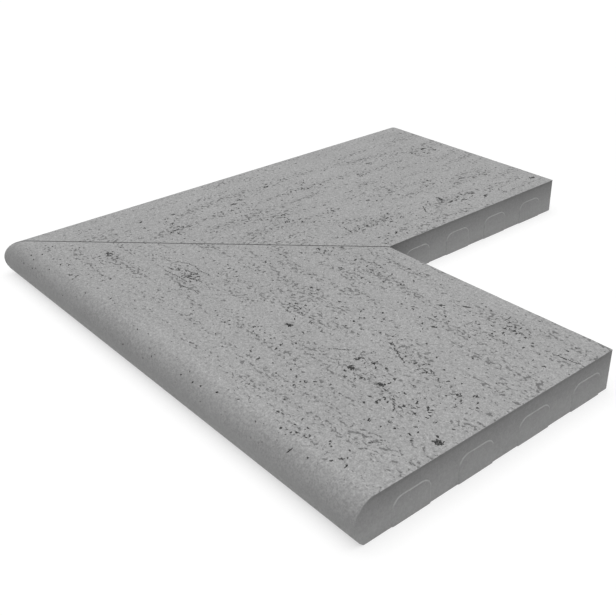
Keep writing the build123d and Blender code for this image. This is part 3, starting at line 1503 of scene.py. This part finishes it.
# %% Noises that lie along the legs, and noises that are the same every way
noise_rough = 0.6
usual_low = 0.3
usual_high = 0.7


def even_noise(scale, detail, coordinates=coordinates):
    """A noise that is the same in every direction."""
    values = {"Scale": scale, "Detail": detail, "Roughness": noise_rough}
    cloud = add_node(tree, "ShaderNodeTexNoise", values)
    link(coordinates, cloud.inputs["Vector"])
    return cloud.outputs["Fac"]


def stretched_noise(along, across, detail):
    """A noise that is drawn out along whichever leg it lies on. The near leg lies along X."""
    layers = []
    for scale in ((across, along, across), (along, across, across)):
        mapping = add_node(tree, "ShaderNodeMapping", {"Scale": scale})
        link(coordinates, mapping.inputs["Vector"])
        layers.append(even_noise(1.0, detail, mapping.outputs[0]))
    return blended(on_near_leg, *layers)


def varied(noise_value, least, most):
    """A factor from a noise. Most of a noise's values lie between the two usual ones."""
    return ranged(noise_value, usual_low, usual_high, least, most)


print("a noise's usual values:", usual_low, "to", usual_high)

# %% Sand, grain, streaks and clouds
sand = even_noise(330, 3)
grain = even_noise(700, 2)
speckle = product(varied(sand, 0.82, 1.20), ranged(grain, 0.36, 0.66, 0.85, 1.20))
wall_roughness = 0.3
roughness = ranged(top, 0.0, 1.0, wall_roughness, 1.0)
streaks = varied(stretched_noise(12, 60, 4), 0.965, 1.035)
clouds = varied(even_noise(9, 3), 0.97, 1.03)
tone = product(streaks, clouds, blended(roughness, 1.0, speckle))
print("the speckle is", wall_roughness, "as strong on the walls as on the top")

# %% [markdown]
# ## Scratches and pits
#
# Between the pits the face has short nicks, too fine for the mesh, painted dark for their dust and as
# painted shade. They are the peaks of a fine noise, and a second noise, in bands along each leg, lets more
# peaks through in some bands and fewer in others. Near the rounded edge there are hardly any. The pits
# get their painted darkness, dust and painted shade, from the depth that the mesh carries.

# %% Paint the scratches and the pits darker, for dust and as painted shade
nick_dust_and_shade_tone = 0.50
pit_dust_and_shade_tone = 0.34
quiet_edge = -0.035

across = math_node("SUBTRACT", math_node("MINIMUM", x, y), outer)
bands = ranged(stretched_noise(12, 80, 3), 0.40, 0.62, -0.015, 0.12)
bands = math_node("ADD", bands, ranged(across, nose_reach, 3 * nose_reach, quiet_edge, 0.0))
scratches = math_node("ADD", stretched_noise(230, 330, 4), bands)
scratch = product(ranged(scratches, 0.645, 0.68, 0.0, 1.0), ranged(top, 0.75, 1.0, 0.0, 1.0))
# Painted dust and shade in the nicks that are too fine for the mesh
tone = product(tone, ranged(scratch, 0.0, 1.0, 1.0, nick_dust_and_shade_tone))
# Painted dust and shade in the pits and in the groove
tone = product(tone, ranged(pit_dust_and_shade, 0.0, 1.0, 1.0, pit_dust_and_shade_tone))
print("a scratch keeps", nick_dust_and_shade_tone, "of the tone, and a pit's floor", pit_dust_and_shade_tone)

# %% [markdown]
# ## The walls' painted light and shade, and the relief
#
# A wall gets light back from the floor, most of it low down, so in the photograph its foot is the lighter
# part. The plain light here gives less of that, so it is painted into the walls' grey: painted light that
# makes it paler at the foot and darker at the rim.
#
# The relief is a bump made of the same sand, grain and scratches, so that the light falls on what the
# colour shows.

# %% Paint light and shade into the walls' grey, and set the colour
base_grey = 0.345
painted_light_at_foot = 1.20
painted_light_at_rim = 0.67
under_rim_shade = 0.86
ledge_highlight_tone = 1.38

# Painted light from the floor: paler at the foot, darker towards the rim
wall_light_and_shade = ranged(height_up, 0.0, thickness, painted_light_at_foot, painted_light_at_rim)
# Painted shade in a band just below the rim
rim_shade = ranged(height_up, thickness - 4 * mm, thickness - 1 * mm, 1.0, under_rim_shade)
# Painted highlight on the ledges round the pads' tops
wall_light_and_shade = product(wall_light_and_shade, rim_shade, ranged(ledge_highlight, 0.0, 1.0, 1.0, ledge_highlight_tone))
tone = product(tone, blended(top, wall_light_and_shade, 1.0), base_grey)
grey = add_node(tree, "ShaderNodeCombineColor")
for channel in grey.inputs:
    link(tone, channel)
link(grey.outputs[0], shader.inputs["Base Color"])
print("the top's grey is", base_grey)

# %% Raise the grain and sink the scratches
relief_height = 0.5 * mm
relief_strength = 0.4
sand_share = 0.7
scratch_share = 0.8

height = math_node("ADD", product(sand, sand_share), product(grain, 1 - sand_share))
height = math_node("SUBTRACT", height, product(scratch, scratch_share))
relief = add_node(tree, "ShaderNodeBump", {"Distance": relief_height})
link(product(roughness, relief_strength), relief.inputs["Strength"])
link(height, relief.inputs["Height"])
link(relief.outputs["Normal"], shader.inputs["Normal"])
print(len(tree.nodes), "nodes in the stone's finish")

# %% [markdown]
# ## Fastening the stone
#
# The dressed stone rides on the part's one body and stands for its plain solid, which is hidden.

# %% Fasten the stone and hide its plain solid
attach(corner_stone, "root")
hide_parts("coping_corner")
